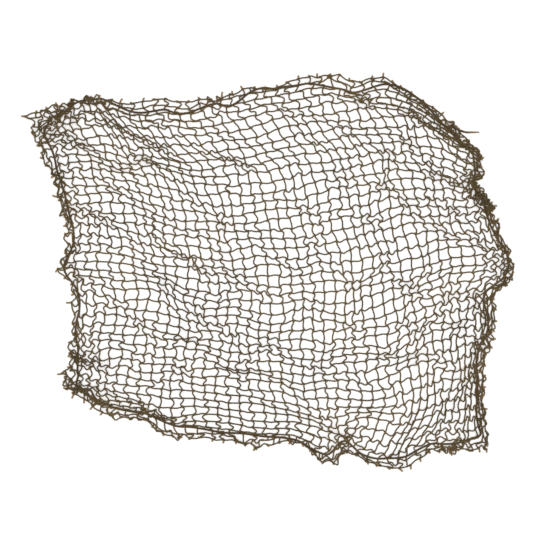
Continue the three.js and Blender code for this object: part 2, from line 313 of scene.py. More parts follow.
LOOSE_END = (
    EndPoint(234, 153, 1.3),
    EndPoint(228, 153, 1.3),
    EndPoint(221, 153, 1.6),
    EndPoint(214, 155, 2.6),
    EndPoint(207, 158, 3.0),
)


def unit(vectors: Array) -> Array:
    """Vectors along the last axis, set to length one."""
    return vectors / (np.linalg.norm(vectors, axis=-1, keepdims=True) + TINY)


def put_in_scene(name: str, data: bpy.types.ID) -> bpy.types.Object:
    """Makes an object of a mesh, a lamp or a camera.

    Args:
        name: Its name.
        data: The mesh, lamp or camera.

    Returns:
        The object, in the scene.
    """
    made = bpy.data.objects.new(name, data)
    bpy.context.scene.collection.objects.link(made)
    return made


def smooth(places: Array, values: Array, at: Array) -> Array:
    """Reads a table smoothly, and never past the rows on either side of a place.

    Args:
        places: Where the table's rows are.
        values: The rows' values, alike for every place, or one array of the places' shape for each row.
        at: The places to read.

    Returns:
        The values at those places.
    """
    span = np.diff(places)
    shape = (-1,) + (1,) * at.ndim
    rows = values.reshape(shape) * np.ones(at.shape) if values.ndim == 1 else values
    rise = np.diff(rows, axis=0) / span.reshape(shape)
    before = (2 * span[1:] + span[:-1]).reshape(shape)
    after = (span[1:] + 2 * span[:-1]).reshape(shape)
    slope = np.concatenate([rise[:1], np.zeros_like(rise[1:]), rise[-1:]])
    same_way = rise[:-1] * rise[1:] > 0
    first = np.where(same_way, rise[:-1], 1.0)
    second = np.where(same_way, rise[1:], 1.0)
    slope[1:-1] = np.where(same_way, (before + after) / (before / first + after / second), 0.0)
    index = np.clip(np.searchsorted(places, at, side="right") - 1, 0, len(places) - 2)
    low, high = index[None], index[None] + 1
    share = (at - places[index]) / span[index]
    values_low, values_high = (np.take_along_axis(rows, end, 0)[0] for end in (low, high))
    slope_low, slope_high = (np.take_along_axis(slope, end, 0)[0] for end in (low, high))
    leave = values_low + share * span[index] * slope_low
    arrive = values_high - (1 - share) * span[index] * slope_high
    return leave + (arrive - leave) * share * share * (3 - 2 * share)


def smooth_places(marks: Array, places: Array, at: Array) -> Array:
    """Reads a table of places on the floor smoothly, by the marks of its rows."""
    return np.stack([smooth(marks, places[..., k], at) for k in (0, 1)], -1)


def through_points(lines: Array, steps: int) -> Array:
    """Smooth lines through points.

    Args:
        lines: Points of each line, as lines by points by coordinates.
        steps: Pieces that each stretch between two points is cut into.

    Returns:
        The finer points of each line.
    """
    head = 2 * lines[:, :1] - lines[:, 1:2]
    foot = 2 * lines[:, -1:] - lines[:, -2:-1]
    padded = np.concatenate([head, lines, foot], 1)
    a, b, c, d = (padded[:, k : padded.shape[1] - 3 + k, None] for k in range(4))
    t = (np.arange(steps) / steps)[:, None]
    fine = b + 0.5 * t * (c - a + t * (2 * a - 5 * b + 4 * c - d + t * (3 * (b - c) + d - a)))
    return np.concatenate([fine.reshape(lines.shape[0], -1, lines.shape[2]), lines[:, -1:]], 1)


@dataclass
class Lie:
    """How the drawn-up net lies: a map from columns and rows to places on the floor.

    Its columns and rows are even steps of the lie. Netting.to_lie finds them for the real twines.
    """

    across: float = 46.0
    down: float = 44.0
    first: float = 2.0
    side_fade: float = 5.0
    hem_run: float = 2.0

    @property
    def last_column(self) -> float:
        """The column that the cord's right run lies on."""
        return self.across - self.first

    @property
    def last_row(self) -> float:
        """The row that the cord's bottom run lies on."""
        return self.down - self.first

    def along(self, side: Side, at: Array) -> Array:
        """Counts along a side, kept between the ends of its cord."""
        return np.clip(at, self.first, side.run(self.last_column, self.last_row))

    def cord(self, side: Side, at: Array) -> Array:
        """Places on a side's cord, by counts along it."""
        route = np.array(CORD_ROUTE[side], float)
        return smooth_places(route[:, 0], route[:, 1:3], at)

    def hem(self, side: Side, at: Array) -> Array:
        """Reach of the netting past a side's cord, by counts along it."""
        route = np.array(CORD_ROUTE[side], float)
        return smooth(route[:, 0], route[:, 3], at)

    def way_out(self, side: Side, at: Array) -> Array:
        """Way that the hem lies from a side's cord.

        Args:
            side: The side.
            at: Counts along it.

        Returns:
            A plane vector of length one for each.
        """
        before = self.cord(side, self.along(side, at - self.hem_run))
        after = self.cord(side, self.along(side, at + self.hem_run))
        run = unit(after - before)
        return unit(np.stack([-run[..., 1], run[..., 0]], -1) * side.turn + side.out)

    def fair(self, columns: Array, rows: Array) -> Array:
        """Places by the cord's top and bottom runs and the traced rows between them.

        Args:
            columns: Counts across.
            rows: Counts down.

        Returns:
            The places.
        """
        lines = [self.cord(Side.TOP, columns)]
        marks = np.array([self.first, *STRAND_COLUMNS, self.last_column])
        for strand in STRAND_ROWS:
            level = np.array([float(strand.row)])
            ends = [self.cord(side, level) for side in BESIDE]
            middle = np.array(strand[1:], float).reshape(-1, 2)
            points = np.concatenate([ends[0], middle, ends[1]])
            lines.append(smooth_places(marks, points, columns))
        lines.append(self.cord(Side.BOTTOM, columns))
        levels = np.array([self.first, *(strand.row for strand in STRAND_ROWS), self.last_row], float)
        return smooth_places(levels, np.stack(lines), rows)

    def sided(self, columns: Array, rows: Array) -> Array:
        """Fair places, with the waves of the left and right cord let in near those sides.

        Args:
            columns: Counts across.
            rows: Counts down.

        Returns:
            The places.
        """
        places = self.fair(columns, rows)
        for side, start in zip(BESIDE, (self.first, self.last_column)):
            fade = np.clip(1 - np.abs(columns - start) / self.side_fade, 0, 1)
            wave = self.cord(side, rows) - self.fair(np.full_like(columns, start), rows)
            places = places + wave * fade[..., None]
        return places

    def inner(self, columns: Array, rows: Array) -> Array:
        """Places inside the cord, with the puckers drawn in.

        Args:
            columns: Counts across.
            rows: Counts down.

        Returns:
            The places.
        """
        places = self.sided(columns, rows)
        for pucker in PUCKERS:
            heart = self.sided(np.array([float(pucker.column)]), np.array([float(pucker.row)]))[0]
            far = ((columns - pucker.column) / pucker.wide) ** 2 + ((rows - pucker.row) / pucker.tall) ** 2
            pull = np.array([pucker.pull_x, pucker.pull_y]) * np.exp(-far)[..., None]
            places = places + (heart - places) * pull
        return places

    def anywhere(self, columns: Array, rows: Array) -> Array:
        """Places inside and outside the cord, out to the tips of the corners.

        Args:
            columns: Counts across.
            rows: Counts down.

        Returns:
            The places.
        """
        in_columns = np.clip(columns, self.first, self.last_column)
        in_rows = np.clip(rows, self.first, self.last_row)
        places = self.inner(in_columns, in_rows)
        reach = {Side.LEFT: columns < in_columns, Side.RIGHT: columns > in_columns}
        reach.update({Side.TOP: rows < in_rows, Side.BOTTOM: rows > in_rows})
        shares = {}
        shifts = {}
        for side in Side:
            at = side.run(in_columns, in_rows)
            out = side.depth(columns - in_columns, rows - in_rows)
            shares[side] = np.where(reach[side], np.abs(out) / self.first, 0.0)[..., None]
            shifts[side] = self.way_out(side, at) * self.hem(side, at)[..., None]
        total = places + sum(shares[side] * shifts[side] for side in Side)
        for corner in CORNERS:
            share = shares[corner.across] * shares[corner.down]
            tip = np.array([corner.x, corner.y])
            total = total + share * (tip - places - shifts[corner.across] - shifts[corner.down])
        return total


@dataclass(frozen=True)
class Wrap:
    """The turn of twine round a knot: its mesh, its size and how far it is worn to the raw fibre."""

    points: int = 10
    sides: int = 5
    wide: float = 0.95
    tall: float = 0.8
    thick: float = 0.8
    worn: Span = (0.05, 0.3)


class Strands(NamedTuple):
    """The twines of the net as lines of points: those across it and those down it."""

    across: Array
    down: Array


@dataclass
class Netting:
    """The knotted netting: its twines are let settle from the net's lie at their own length."""

    lie: Lie
    # The piece as it was cut: its meshes each way, and a bar's length from knot to knot.
    across: int = 46
    down: int = 43
    bar: float = 12.75
    # The twine: the steps of its line and of its mesh, its thickness and its knots.
    parts: int = 6
    rings_per_part: int = 2
    sides: int = 6
    twine_radius: float = 0.85
    lobe: float = 0.09
    turn_per_ring: float = 0.7
    knot_swell: float = 0.4
    swell_reach: float = 0.09
    wrap: Wrap = Wrap()
    # The bands that the netting is made in, and the share of a band that twine covers.
    band_rows: tuple[int, ...] = (0, 9, 18, 27, 36, 44)
    cover: float = 0.4
    # How the knots settle, and how near and far they may lie.
    seed: int = 11
    settle_rounds: int = 80
    ease_rounds: int = 10
    hold: float = 0.1
    taut: float = 0.985
    knot_room: float = 2.4
    least_gap: float = 1e-6
    # How far the knots stray from a fair lie, away from the edges.
    edge_fade: float = 4.0
    waves: int = 60
    wave_lengths: Span = (2.6, 8.0)
    drift: float = 2.2
    # How the knots turn and bend their twines.
    knot_turn: float = 0.28
    alternate_turn: float = 0.1
    turn_spread: Span = (0.2, 1.4)
    most_turn: float = 0.9
    kink: float = 0.2
    kink_edge: float = 2.0
    squaring: float = 0.5
    # How slack bars arch up, inside the rim and at it, and over the cord.
    arch: float = 0.12
    crowded_arch: float = 1.1
    hem_arch: float = 0.3
    rim_meshes: int = 2
    deepest: float = 30.0
    halvings: int = 20
    bridge: float = 2.5
    # How the netting is gathered on the cord, and how it lies outside it.
    gathered: tuple[float, ...] = (0.0, 2.0, 4.0)
    gathered_to: tuple[float, ...] = (0.0, 1.7, 3.6)
    bunching: float = 0.45
    bunch_reach: float = 2.5
    least_gather: float = 0.5
    hem_rough: float = 1.6
    hem_sway: float = 0.3
    sway_limits: Span = (0.3, 1.7)
    lean_patch: float = 7.0
    lean_wander: float = 0.7
    corner_lean: float = 4.0
    # How high the knots lie, alone and where slack netting piles up.
    knot_rise: float = 0.6
    most_slack: float = 0.7
    pile_from: float = 0.2
    pile_span: float = 0.4
    pile_height: float = 3.5
    strands: Strands | None = None

    @property
    def bar_rings(self) -> int:
        """Rings of the twine's mesh from knot to knot."""
        return self.parts * self.rings_per_part

    def outside(self, side: Side) -> float:
        """Meshes outside the cord on a side."""
        return HEMS[side].meshes

    def to_lie(self, columns: Array, rows: Array) -> tuple[Array, Array]:
        """Counts of twines as counts of the lie, with the meshes near the cord gathered.

        Args:
            columns: Counts of twines across.
            rows: Counts of twines down.

        Returns:
            Columns and rows of the lie.
        """
        near, low = np.array(self.gathered), np.array(self.gathered_to) + self.lie.first
        mapped = []
        for counts, meshes, places, start, end in (
            (columns, self.across, self.lie.across, *BESIDE),
            (rows, self.down, self.lie.down, *LEVEL),
        ):
            first, last = self.outside(start) + near, meshes - self.outside(end) - near[::-1]
            twines = np.concatenate([[0.0], first, last, [meshes]])
            marks = np.concatenate([[0.0], low, places - low[::-1], [places]])
            mapped.append(np.interp(counts, twines, marks))
        return mapped[0], mapped[1]

    def uneven(self, columns: Array, rows: Array, random: Random) -> Array:
        """Drift of the knots from a fair lie, as a sum of short waves.

        Args:
            columns: Counts across.
            rows: Counts down.
            random: Source of the waves.

        Returns:
            A plane shift of about unit size for each knot.
        """
        total = np.zeros(columns.shape + (2,))
        for _ in range(self.waves):
            way = random.uniform(0, 2 * np.pi)
            length = random.uniform(*self.wave_lengths)
            phase = random.uniform(0, 2 * np.pi, 2)
            along = 2 * np.pi * (columns * np.cos(way) + rows * np.sin(way)) / length
            total += np.sin(along[..., None] + phase) * random.normal(size=2)
        return total / np.sqrt(self.waves / 2)

    def wander(self, counts: Array, step: float, random: Random) -> Array:
        """A slow random value of about unit size along some counts, free at every step of them."""
        marks = np.arange(0, counts[-1] + 2 * step, step)
        return smooth(marks, random.normal(size=len(marks)), counts)

    def bunched(self, columns: Array, rows: Array, random: Random) -> tuple[Array, Array]:
        """Counts shifted along each side near its cord, where the twines bunch and spread.

        Args:
            columns: Counts of twines across.
            rows: Counts of twines down.
            random: Source of the bunches.

        Returns:
            The shifted columns and rows.
        """
        shifted = [columns.copy(), rows.copy()]
        for side in Side:
            run = side.run(columns[0], rows[:, 0])
            shift = self.bunching * self.wander(run, self.bunch_reach, random)
            shift *= np.clip(np.minimum(run, run[-1] - run) / self.edge_fade, 0, 1)
            across = side.depth(columns, rows)
            depth = across if side.starts_count else across.max() - across
            fade = np.exp(-np.maximum(depth - self.outside(side), 0) / self.bunch_reach)
            shifted[side.run(0, 1)] += side.run(shift, shift[:, None]) * fade
        return shifted[0], shifted[1]

    def lay_hem(self, targets: Array, columns: Array, rows: Array, random: Random) -> None:
        """Leans the knots outside the cord along it, as a drawn-up hem lies.

        Args:
            targets: The knots' places, changed here.
            columns: Their counts across, as bunched.
            rows: Their counts down, as bunched.
            random: Source of the unevenness.
        """
        lie = self.lie
        patch = self.lean_patch
        for side in Side:
            meshes, far = (pick(self.across, self.down) for pick in (side.run, side.depth))
            before, after = (self.outside(end) for end in side.ends)
            counts = np.arange(meshes + 1, dtype=float)
            kept = (counts > before) & (counts < meshes - after)
            corners = np.exp(-counts / patch) - np.exp((counts - meshes) / patch)
            drawn = self.lean_wander * self.wander(counts, patch, random) + self.corner_lean * corners
            lean = HEMS[side].lean * np.tanh(drawn)
            border = 0 if side.starts_count else -1
            bunched = side.run(columns[border], rows[:, border])
            at = side.run(*self.to_lie(bunched, bunched))
            near = [lie.cord(side, lie.along(side, at + half)) for half in (-0.5, 0.5)]
            gather = np.maximum(np.linalg.norm(near[1] - near[0], axis=-1), self.least_gather * self.bar)
            deep = self.outside(side)
            row_step = lie.hem(side, lie.along(side, at)) / deep
            slide = np.sqrt(np.maximum(self.bar**2 - row_step**2, 0)) / gather
            for row in range(math.ceil(deep)):
                sway = 1 + self.hem_sway * self.wander(counts, self.bunch_reach, random)
                depth = (deep - row) * (np.clip(sway, *self.sway_limits) if row else 1.0)
                slid = lie.along(side, at + lean * slide * depth)
                reach = (lie.hem(side, slid) * depth / deep)[:, None]
                rough = random.normal(0, self.hem_rough, (meshes + 1, 2))
                places = lie.cord(side, slid) + lie.way_out(side, slid) * reach + rough
                line = row if side.starts_count else far - row
                targets[side.run((line, kept), (kept, line))] = places[kept]

    def keep_spacing(self, spots: Array) -> None:
        """Draws knots in that are further apart than a bar, and parts those that would run together.

        Args:
            spots: The knots' places by rows and columns, changed here.
        """
        for lines in (spots, spots.swapaxes(0, 1)):
            for start in (0, 1):
                first = lines[start:-1:2]
                second = lines[start + 1 :: 2]
                gap = second - first
                size = np.linalg.norm(gap, axis=-1, keepdims=True) + self.least_gap
                wanted = np.clip(size, self.knot_room, self.taut * self.bar)
                move = 0.5 * (1 - wanted / size) * gap
                first += move
                second -= move

    def curve_bars(
        self, knots: Array, turns: Array, kinks: Array, ends: SidePair, edges: SidePair, random: Random
    ) -> Array:
        """Lines of the twines one way: every bar curved as its knots turn it, and as long as a bar is.

        Args:
            knots: The knots' places with their heights, as twines by knots.
            turns: The knots' turns, alike.
            kinks: Half of the bend that a twine has at each knot, alike.
            ends: The sides that the twines start and end on.
            edges: The sides that the first and the last twine lie along.
            random: Source of the arches.

        Returns:
            Points of each twine.
        """
        start, end = knots[:, :-1], knots[:, 1:]
        chord = end - start
        size = np.linalg.norm(chord, axis=-1)
        slack = np.clip(1 - size / self.bar, 0, 1)
        way = unit(chord[..., :2])
        leave, arrive = np.tan((turns + kinks)[:, :-1]), np.tan((turns - kinks)[:, 1:])
        share = np.full(slack.shape, self.hem_arch)
        first, last = (math.ceil(self.outside(side)) for side in edges)
        head, foot = (math.ceil(self.outside(side)) for side in ends)
        rim = self.rim_meshes
        share[first + rim : -last - rim, head + rim : -foot - rim] = self.crowded_arch
        arch = random.uniform(0.0, self.arch, slack.shape) + share * slack
        threaded = np.arange(first, len(knots) - last)
        over = threaded[threaded % 2 == 0]
        under = threaded[threaded % 2 == 1]
        crossing = (head - 1, -foot)
        for bar in crossing:
            arch[under, bar] = 0.0
        t = np.arange(self.parts + 1) / self.parts
        bow, sway = np.sin(np.pi * t), np.sin(2 * np.pi * t)
        aside = ((leave - arrive) / 2)[..., None] * bow + ((leave + arrive) / 4)[..., None] * sway
        shape = np.stack([-way[..., 1:] * aside, way[..., :1] * aside, arch[..., None] * bow], -1)
        shape *= size[..., None, None] / np.pi
        straight = start[:, :, None] + chord[:, :, None] * t[:, None]
        low, high = np.zeros(size.shape), np.full(size.shape, self.deepest)
        for _ in range(self.halvings):
            middle = 0.5 * (low + high)
            points = straight + middle[..., None, None] * shape
            length = np.linalg.norm(np.diff(points, axis=2), axis=-1).sum(-1)
            low = np.where(length < self.bar, middle, low)
            high = np.where(length < self.bar, high, middle)
        points = straight + low[..., None, None] * shape
        for bar in crossing:
            points[over, bar, :, 2] = np.maximum(points[over, bar, :, 2], self.bridge * bow)
        return np.concatenate([points[:, :, :-1].reshape(len(knots), -1, 3), knots[:, -1:]], 1)

    def settle(self) -> None:
        """Finds how the netting lies, from the lie, the length of its bars and the turns of its knots."""
        random = np.random.default_rng(self.seed)
        rows, columns = np.meshgrid(np.arange(self.down + 1.0), np.arange(self.across + 1.0), indexing="ij")
        bunched = self.bunched(columns, rows, random)
        targets = self.lie.anywhere(*self.to_lie(*bunched))
        (left, right), (top, bottom) = ([self.outside(side) for side in pair] for pair in (BESIDE, LEVEL))
        reach = [columns - left, self.across - right - columns, rows - top, self.down - bottom - rows]
        inside = np.clip(np.minimum.reduce(reach) / self.edge_fade, 0, 1)[..., None]
        targets = targets + self.drift * self.uneven(columns, rows, random) * inside
        self.lay_hem(targets, *bunched, random)
        spots = targets.copy()
        for round_number in range(self.settle_rounds + self.ease_rounds):
            self.keep_spacing(spots)
            if round_number < self.settle_rounds:
                spots += self.hold * (targets - spots)
        strayed = np.linalg.norm(spots - targets, axis=-1)
        LOG.info("knots lie %.2f mm from their places, %.1f at most", strayed.mean(), strayed.max())
        checks = np.where((columns + rows) % 2 == 0, 1.0, -1.0)
        turns = checks * self.alternate_turn * random.uniform(*self.turn_spread, checks.shape)
        turns += random.normal(0, self.knot_turn, checks.shape)
        square = self.squaring * self.skew(spots) * inside[..., 0]
        kinks = self.kink * np.tanh(self.kink_edge * self.uneven(columns, rows, random)) * inside
        most = self.most_turn
        turns_across, turns_down = (np.clip(turns + part, -most, most) for part in (square, -square))
        pile = np.clip((self.crowding(spots) - self.pile_from) / self.pile_span, 0, 1)
        lift = self.knot_rise + pile * random.uniform(0, self.pile_height, pile.shape)
        knots = np.concatenate([spots, lift[..., None]], -1)
        across = self.curve_bars(knots, turns_across, kinks[..., 0], BESIDE, LEVEL, random)
        columns_first = knots.transpose(1, 0, 2)
        down = self.curve_bars(columns_first, turns_down.T, kinks[..., 1].T, LEVEL, BESIDE, random)
        self.strands = Strands(across, down)

    def skew(self, spots: Array) -> Array:
        """How far the two twines at each knot are from square, as an angle."""
        across, down = (unit(np.gradient(spots, axis=axis)) for axis in (1, 0))
        return np.arcsin(np.clip(np.sum(across * down, -1), -1, 1))

    def crowding(self, targets: Array) -> Array:
        """Mean slack of the bars at each knot.

        Args:
            targets: The knots' places, by rows and columns.

        Returns:
            The slack, as a share of a bar.
        """
        total = np.zeros(targets.shape[:2])
        number = np.zeros_like(total)
        for axis in (0, 1):
            chord = np.linalg.norm(np.diff(targets, axis=axis), axis=-1)
            slack = np.clip(1 - chord / self.bar, 0, self.most_slack)
            for end in (slice(None, -1), slice(1, None)):
                where = (end, slice(None)) if axis == 0 else (slice(None), end)
                total[where] += slack
                number[where] += 1
        return total / number

    def twine_lines(self) -> Strands:
        """Fine lines of the twines, standing on the floor."""
        rise = np.array([0, 0, self.twine_radius * (1 + self.lobe)])
        return Strands(*(through_points(lines, self.rings_per_part) + rise for lines in self.strands))

    def swell(self, rings: int) -> Array:
        """Radius along a twine, thicker where it enters a knot.

        Args:
            rings: Rings on the twine.

        Returns:
            The radius at each ring.
        """
        half = self.bar_rings / 2
        from_knot = np.abs((np.arange(rings) + half) % self.bar_rings - half) / self.bar_rings
        return self.twine_radius * (1 + self.knot_swell * np.exp(-((from_knot / self.swell_reach) ** 2)))

    def build(self, finish: TwineFinish, origin: Array) -> list[bpy.types.Object]:
        """Makes the netting as bands of rows.

        Args:
            finish: The twine's finish.
            origin: Shift from the lie to the part's frame.

        Returns:
            The bands.
        """
        lines = self.twine_lines()
        bands = []
        for number, (top, bottom) in enumerate(zip(self.band_rows, self.band_rows[1:]), 1):
            skin = Skin(f"netting_{number}", origin)
            across = lines.across[top:bottom]
            low = min(bottom, self.down)
            down = lines.down[:, top * self.bar_rings : low * self.bar_rings + 1]
            for twines in (across, down):
                radius = self.swell(twines.shape[1])
                skin.add_tubes(twines, radius, self.sides, self.bar_rings, self.lobe, self.turn_per_ring)
            self.add_knots(skin, top, bottom)
            piece = skin.build(finish.material())
            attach(piece, BODY)
            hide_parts("net")
            bands.append(piece)
        return bands

    def add_knots(self, skin: Skin, top: int, bottom: int) -> None:
        """Adds the wrap of each knot to a band.

        Args:
            skin: The band.
            top: Its first row.
            bottom: The row after its last.
        """
        wrap, step = self.wrap, self.parts
        across, down = self.strands
        padded = [np.pad(lines, ((0, 0), (1, 1), (0, 0)), mode="edge") for lines in (across, down)]
        tangents = [unit(lines[:, 2:] - lines[:, :-2])[:, ::step] for lines in padded]
        right, below = tangents[0], tangents[1].transpose(1, 0, 2)
        rows = np.arange(top, bottom)
        leans = np.where(rows % 2 == 0, 1.0, -1.0)[:, None, None]
        axis = unit(right[rows] * leans + below[rows]).reshape(-1, 3)
        rise = np.array([0, 0, wrap.wide + wrap.thick - self.knot_rise])
        centre = across[rows][:, ::step].reshape(-1, 3) + rise
        aside = unit(np.cross(axis, UP))
        over = np.cross(aside, axis)
        angle = (2 * np.pi * np.arange(wrap.points) / wrap.points)[:, None]
        out = wrap.wide * np.cos(angle) * aside[:, None] + wrap.tall * np.sin(angle) * over[:, None]
        worn = np.random.default_rng(self.seed + top).uniform(*wrap.worn, len(centre))
        skin.add_rings(centre[:, None] + out, unit(out), wrap.thick, wrap.sides, worn)


@dataclass
class Skin:
    """Gathers tubes into one mesh, with the maps that its finish and its baking read."""

    name: str
    origin: Array
    margin: float = 0.08
    tip_inset: float = 0.05
    points: list[Array] = field(default_factory=list)
    faces: list[Array] = field(default_factory=list)
    corners: list[Array] = field(default_factory=list)
    lays: list[Array] = field(default_factory=list)
    cells: list[Array] = field(default_factory=list)
    cuts: list[Array] = field(default_factory=list)
    used: int = 0
    cell_count: int = 0

    def frames(self, lines: Array) -> tuple[Array, Array]:
        """Two square ways across each line that don't twist round it.

        Args:
            lines: Points of each line.

        Returns:
            The two ways at every point.
        """
        padded = np.pad(lines, ((0, 0), (1, 1), (0, 0)), mode="edge")
        tangent = unit(padded[:, 2:] - padded[:, :-2])
        normal = np.zeros_like(lines)
        nudge = np.array([1e-4, 0, 0])
        way = np.cross(tangent[:, 0], UP) + nudge
        for ring in range(lines.shape[1]):
            along = tangent[:, ring]
            way = unit(way - along * np.sum(way * along, -1, keepdims=True))
            normal[:, ring] = way
        return normal, np.cross(tangent, normal)

    def add_tubes(
        self,
        lines: Array,
        radius: Array,
        sides: int,
        cell_rings: int,
        lobe: float = 0.0,
        turn: float = 0.0,
        cut: Array | None = None,
    ) -> None:
        """Adds twisted tubes with closed ends.

        Args:
            lines: Points of each tube's line.
            radius: Radius at each ring, alike for all tubes or for each.
            sides: Sides of a tube.
            cell_rings: Rings that share one cell of the bake map.
            lobe: How far the plies stand out, as a share of the radius.
            turn: Turn of the plies from ring to ring.
            cut: How far each ring is frayed, or None.
        """
        tubes, rings = lines.shape[:2]
        normal, binormal = self.frames(lines)
        angle = 2 * np.pi * np.arange(sides) / sides
        spin = angle + turn * np.arange(rings)[:, None]
        size = np.broadcast_to(radius, (tubes, rings))[..., None] * (1 + lobe * np.cos(PLIES * angle))
        ring = size[..., None] * (
            np.cos(spin)[..., None] * normal[:, :, None] + np.sin(spin)[..., None] * binormal[:, :, None]
        )
        body = (lines[:, :, None] + ring).reshape(-1, 3)
        ends = np.concatenate([lines[:, 0], lines[:, -1]])
        number = np.arange(tubes * rings * sides).reshape(tubes, rings, sides)
        beside = np.roll(number, -1, 2)
        quads = np.stack([number[:, :-1], beside[:, :-1], beside[:, 1:], number[:, 1:]], -1).reshape(-1, 4)
        tips = number.size + np.arange(2 * tubes).reshape(2, tubes, 1) + np.zeros((1, 1, sides), int)
        low = np.stack([tips[0], beside[:, 0], number[:, 0]], -1).reshape(-1, 3)
        high = np.stack([tips[1], number[:, -1], beside[:, -1]], -1).reshape(-1, 3)
        self.points.append(np.concatenate([body, ends]))
        self.faces += [quads + self.used, low + self.used, high + self.used]
        self.used += len(body) + len(ends)
        amount = np.zeros((tubes, rings)) if cut is None else np.broadcast_to(cut, (tubes, rings))
        self.cuts.append(np.concatenate([np.repeat(amount.ravel(), sides), amount[:, 0], amount[:, -1]]))
        self.map_tubes(lines, sides, cell_rings)

    def map_tubes(self, lines: Array, sides: int, cell_rings: int) -> None:
        """Adds the maps of tubes that were just added.

        Args:
            lines: Points of each tube's line.
            sides: Sides of a tube.
            cell_rings: Rings that share one cell of the bake map.
        """
        tubes, rings = lines.shape[:2]
        step = np.linalg.norm(np.diff(lines, axis=1), axis=-1)
        length = np.concatenate([np.zeros((tubes, 1)), np.cumsum(step, 1)], 1)
        per_tube = math.ceil((rings - 1) / cell_rings)
        first = self.cell_count + per_tube * np.arange(tubes)[:, None, None]
        ring = np.arange(rings - 1)[:, None]
        cells = first + ring // cell_rings + np.zeros((1, 1, sides), int)
        low = (ring % cell_rings) / cell_rings
        self.map_quads(low, low + 1 / cell_rings, length[:, :-1, None], length[:, 1:, None], cells)
        left = np.arange(sides) / sides
        right = left + 1 / sides
        last = ((rings - 2) % cell_rings + 1) / cell_rings
        fan = np.zeros((tubes, sides))
        for end, level, tip, rim in (
            (0, 0.0, -self.tip_inset, (right, left)),
            (-1, last, last + self.tip_inset, (left, right)),
        ):
            around = np.stack([0.5 + fan, rim[0] + fan, rim[1] + fan], -1)
            within = np.stack([tip + fan, level + fan, level + fan], -1)
            along = np.repeat((length[:, end, None] + fan)[..., None], 3, -1)
            self.add_maps(around, within, along, cells[:, end])
        self.cell_count += per_tube * tubes

    def map_quads(self, low: Array, high: Array, before: Array, after: Array, cells: Array) -> None:
        """Adds the maps of quads that lie in rows round a tube.

        Args:
            low: Where each quad starts, as a share of its cell.
            high: Where it ends there.
            before: Length of the tube to its start.
            after: Length of the tube to its end.
            cells: Its cell, by tubes, rows and sides.
        """
        whole = np.zeros(cells.shape)
        left = np.arange(cells.shape[-1]) / cells.shape[-1] + whole
        right = left + 1 / cells.shape[-1]
        within = np.stack([end + whole for end in (low, low, high, high)], -1)
        along = np.stack([end + whole for end in (before, before, after, after)], -1)
        self.add_maps(np.stack([left, right, right, left], -1), within, along, cells)

    def add_maps(self, around: Array, within: Array, along: Array, cells: Array) -> None:
        """Adds the maps of some faces.

        Args:
            around: Share of the way round the tube, for each corner of each face.
            within: Share of the way along the cell, alike.
            along: Length of the tube, alike.
            cells: Cell of each face.
        """
        self.corners.append(np.stack([around, within], -1).reshape(-1, 2))
        self.lays.append(np.stack([around, along], -1).reshape(-1, 2))
        self.cells.append(np.repeat(cells.ravel(), around.shape[-1]))

    def add_rings(self, loops: Array, outward: Array, thick: float, sides: int, worn: Array) -> None:
        """Adds closed rings of cord.

        Args:
            loops: Points of each ring's line.
            outward: Way out from the ring at each point.
            thick: Radius of the cord.
            sides: Its sides.
            worn: How far each ring is worn to the raw fibre.
        """
        count, rings = loops.shape[:2]
        tangent = unit(np.roll(loops, -1, 1) - np.roll(loops, 1, 1))
        normal = unit(outward - tangent * np.sum(outward * tangent, -1, keepdims=True))
        binormal = np.cross(tangent, normal)
        angle = 2 * np.pi * np.arange(sides) / sides
        ring = thick * (
            np.cos(angle)[:, None] * normal[:, :, None] + np.sin(angle)[:, None] * binormal[:, :, None]
        )
        body = (loops[:, :, None] + ring).reshape(-1, 3)
        number = np.arange(count * rings * sides).reshape(count, rings, sides)
        beside, after = np.roll(number, -1, 2), np.roll(number, -1, 1)
        quads = np.stack([number, beside, np.roll(after, -1, 2), after], -1).reshape(-1, 4)
        self.points.append(body)
        self.faces.append(quads + self.used)
        self.used += len(body)
        self.cuts.append(np.repeat(worn, rings * sides))
        low = (np.arange(rings) / rings)[:, None]
        high = low + 1 / rings
        girth = np.linalg.norm(np.diff(loops, axis=1), axis=-1).sum(1)[:, None, None]
        cells = self.cell_count + np.arange(count)[:, None, None] + np.zeros((1, rings, sides), int)
        self.map_quads(low, high, low * girth, high * girth, cells)
        self.cell_count += count

    def build(self, material: bpy.types.Material) -> bpy.types.Object:
        """Makes the mesh and its maps.

        Args:
            material: Its finish.

        Returns:
            The object, in the scene.
        """
        mesh = bpy.data.meshes.new(self.name)
        points = (np.concatenate(self.points) + self.origin) * METRES
        mesh.from_pydata(points.tolist(), [], [face for group in self.faces for face in group.tolist()])
        grid = math.ceil(math.sqrt(self.cell_count))
        cells = np.concatenate(self.cells)
        corners = self.margin + (1 - 2 * self.margin) * np.concatenate(self.corners)
        bake = (corners + np.stack([cells % grid, cells // grid], -1)) / grid
        for name, places in ((LAY_MAP, np.concatenate(self.lays)), (BAKE_MAP, bake)):
            layer = mesh.uv_layers.new(name=name)
            layer.data.foreach_set("uv", places.astype(np.float32).ravel())
        mask = mesh.attributes.new(CUT_MASK, "FLOAT", "POINT")
        mask.data.foreach_set("value", np.concatenate(self.cuts).astype(np.float32))
        mesh.polygons.foreach_set("use_smooth", np.ones(len(mesh.polygons), bool))
        mesh.materials.append(material)
        return put_in_scene(self.name, mesh)


